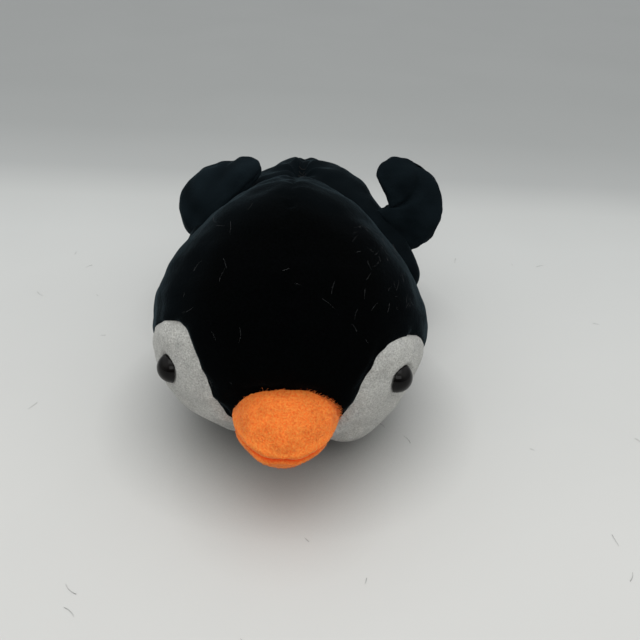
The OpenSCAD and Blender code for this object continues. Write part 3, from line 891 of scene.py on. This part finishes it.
q, faces = closed_grid(neck_ball, np.arange(6, 176, 10.0), 0.0)
ob = filling("neck_filling", "neck_stuffing", q, faces)
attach(ob, "neck")
q, faces = closed_grid(beak_base, np.concatenate([np.arange(32, 90, 5.0), [92, 98]]), 4.0)
ob = filling("beak_filling", "beak_stuffing", q, faces)
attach(ob, "head")

# ---------------------------------------------------------------- lint and stray hairs
LINT = plain_fabric("pale_lint", (0.05, 0.052, 0.055), (0.16, 0.165, 0.17), 3)
DARK_LINT = plain_fabric("dark_lint", (0.02, 0.02, 0.02), (0.06, 0.055, 0.05), 3)


def stray_hair(r, root, out, length, lift):
    """A curved hair that lies against a surface."""
    ahead = r.normal(size=3)
    ahead = unit(ahead - (ahead @ out) * out)
    across = np.cross(out, ahead)
    s = np.linspace(-0.5, 0.5, 9)[:, None] * length
    bow = r.uniform(-0.09, 0.09)
    return root + out * lift + ahead * s + across * bow * s * s - out * 0.008 * s * s


def head_lint(name, count, mat, radius, t_range, p_range, lengths, seed):
    r = np.random.default_rng(seed)
    curves = []
    for _ in range(count):
        t, p = np.array(r.uniform(*t_range)), np.array(r.uniform(*p_range))
        root, out = head_base(t, p), head_out(t, p)
        curves.append(stray_hair(r, root, out, r.uniform(*lengths), slump(root) + crown_folds(t, p, root) + 0.5) + puff_at(t, p))
    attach(tubes(name, curves, radius, mat), "head")


head_lint("crown_lint", 30, LINT, 0.028, (38, 112), (-48, 48), (2.0, 7.5), 5)
head_lint("crown_lint_right", 36, LINT, 0.025, (70, 112), (30, 62), (1.5, 5.0), 6)
head_lint("cheek_lint", 3, DARK_LINT, 0.11, (36, 48), (-84, -64), (1.0, 1.8), 8)


def floor_lint(count):
    r = np.random.default_rng(9)
    curves = []
    for _ in range(count):
        root = np.array([r.uniform(-190, 190), r.uniform(-330, 40), 0.0])
        curves.append(stray_hair(r, root, np.array([0, 0, 1.0]), r.uniform(2, 7), 0.16))
    for curve in curves:
        curve[:, 2] = 0.14
    tubes("floor_lint", curves, 0.06, DARK_LINT)


floor_lint(44)

# ---------------------------------------------------------------- CAD nodes that stay
for n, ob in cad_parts.items():
    ob.data.materials.clear()
    if "stuffing" in n:
        ob.data.materials.append(FILLING)
    elif "washer" in n:
        ob.data.materials.append(WASHER)
    else:
        ob.data.materials.append(BLACK)

# ---------------------------------------------------------------- floor, light and camera


def floor_material():
    m, nt, b = new_material("pale_floor")
    tc = nt.nodes.new("ShaderNodeTexCoord")
    sep = nt.nodes.new("ShaderNodeSeparateXYZ")
    link(nt, tc.outputs["Object"], sep.inputs["Vector"])
    # painted shade: the floor's colour darkens towards the back
    r = nt.nodes.new("ShaderNodeMapRange")
    r.inputs["From Min"].default_value = -0.2
    r.inputs["From Max"].default_value = 0.46
    link(nt, sep.outputs["Y"], r.inputs["Value"])
    back = ramp(nt, r.outputs["Result"], [(0.0, (0.59, 0.59, 0.575)), (0.39, (0.53, 0.54, 0.53)), (0.49, (0.49, 0.50, 0.49)),
                                          (0.59, (0.375, 0.385, 0.38)), (0.76, (0.32, 0.33, 0.325)),
                                          (1.0, (0.30, 0.31, 0.305))])
    cloud = ramp(nt, noise_node(nt, 5, 4, 0.5, distortion=0.6), [(0.3, (0.965, 0.965, 0.965)), (0.7, (1, 1, 1))])
    # painted contact shadow: an ambient occlusion node darkens the floor's colour close under and around the plush
    near = nt.nodes.new("ShaderNodeAmbientOcclusion")
    near.samples = 8
    near.inputs["Distance"].default_value = 0.045
    painted_contact_shadow = ramp(nt, near.outputs["AO"], [(0.0, (0.26, 0.26, 0.26)), (0.5, (0.70, 0.70, 0.70)), (1.0, (1.0, 1.0, 1.0))])
    surface = blend_colour(nt, 1.0, back, cloud, "MULTIPLY")
    link(nt, blend_colour(nt, 1.0, surface, painted_contact_shadow, "MULTIPLY"), b.inputs["Base Color"])
    b.inputs["Roughness"].default_value = 0.4
    b.inputs["Specular IOR Level"].default_value = 0.4
    bumps(nt, b, [(noise_node(nt, 40, 3), 0.05, 0.5)])
    return m


floor = mesh_from("floor", [(np.array([[-3000, -2500, 0], [3000, -2500, 0], [3000, 4500, 0], [-3000, 4500, 0]], float), [(0, 1, 2, 3)])],
                  floor_material(), False)


def area_light(name, at, to, size, power, colour):
    data = bpy.data.lights.new(name, "AREA")
    data.shape = "RECTANGLE"
    data.size, data.size_y = size
    data.energy = power
    data.color = colour
    ob = bpy.data.objects.new(name, data)
    bpy.context.scene.collection.objects.link(ob)
    ob.location = at
    ob.rotation_euler = (Vector(to) - Vector(at)).to_track_quat("-Z", "Y").to_euler()
    return ob


area_light("top_light", (0.0, -0.25, 1.1), (0, -0.15, 0), (1.0, 0.8), 3.0, (1.0, 1.0, 0.99))
area_light("front_fill", (0.15, -1.3, 0.8), (0, -0.16, 0.03), (1.0, 0.5), 2.5, (1.0, 0.99, 0.97))


def studio_world():
    """Soft light from all round, stronger from above than from the horizon."""
    world = bpy.data.worlds.new("studio")
    bpy.context.scene.world = world
    world.use_nodes = True
    nt = world.node_tree
    tc = nt.nodes.new("ShaderNodeTexCoord")
    sep = nt.nodes.new("ShaderNodeSeparateXYZ")
    link(nt, tc.outputs["Generated"], sep.inputs["Vector"])
    r = nt.nodes.new("ShaderNodeMapRange")
    r.inputs["From Min"].default_value = -1.0
    link(nt, sep.outputs["Y"], r.inputs["Value"])
    front = ramp(nt, r.outputs["Result"], [(0.0, (0.25, 0.25, 0.25)), (0.12, (0.6, 0.6, 0.59)), (0.3, (1.0, 1.0, 0.98)), (0.5, (0.92, 0.93, 0.93)),
                                            (1.0, (0.76, 0.78, 0.8))])
    low = ramp(nt, sep.outputs["Z"], [(0.0, (0.40, 0.40, 0.40)), (0.3, (0.45, 0.45, 0.45)), (0.55, (0.85, 0.85, 0.85)),
                                     (0.8, (1.0, 1.0, 1.0))])
    back = nt.nodes["Background"]
    link(nt, blend_colour(nt, 1.0, front, low, "MULTIPLY"), back.inputs["Color"])
    back.inputs["Strength"].default_value = 1.22


studio_world()

ELEVATION, ROLL = math.radians(33), math.radians(2.5)
ahead = Vector((0, math.cos(ELEVATION), -math.sin(ELEVATION)))
up = Vector((0, math.sin(ELEVATION), math.cos(ELEVATION)))
right = Vector((1, 0, 0))
eye_point = Vector((0, HEAD_Y, 58)) * MM - ahead * 0.320 - up * 0.0055 + right * 0.014
cam_data = bpy.data.cameras.new("camera")
cam_data.sensor_width = 36
cam_data.lens = 692 / 640 * 36
camera = bpy.data.objects.new("camera", cam_data)
bpy.context.scene.collection.objects.link(camera)
cam_right = right * math.cos(ROLL) + up * math.sin(ROLL)
cam_up = up * math.cos(ROLL) - right * math.sin(ROLL)
turn = Matrix((cam_right, cam_up, -ahead)).transposed().to_4x4()
camera.matrix_world = Matrix.Translation(eye_point) @ turn
bpy.context.scene.camera = camera
bpy.context.scene.view_settings.view_transform = "Standard"
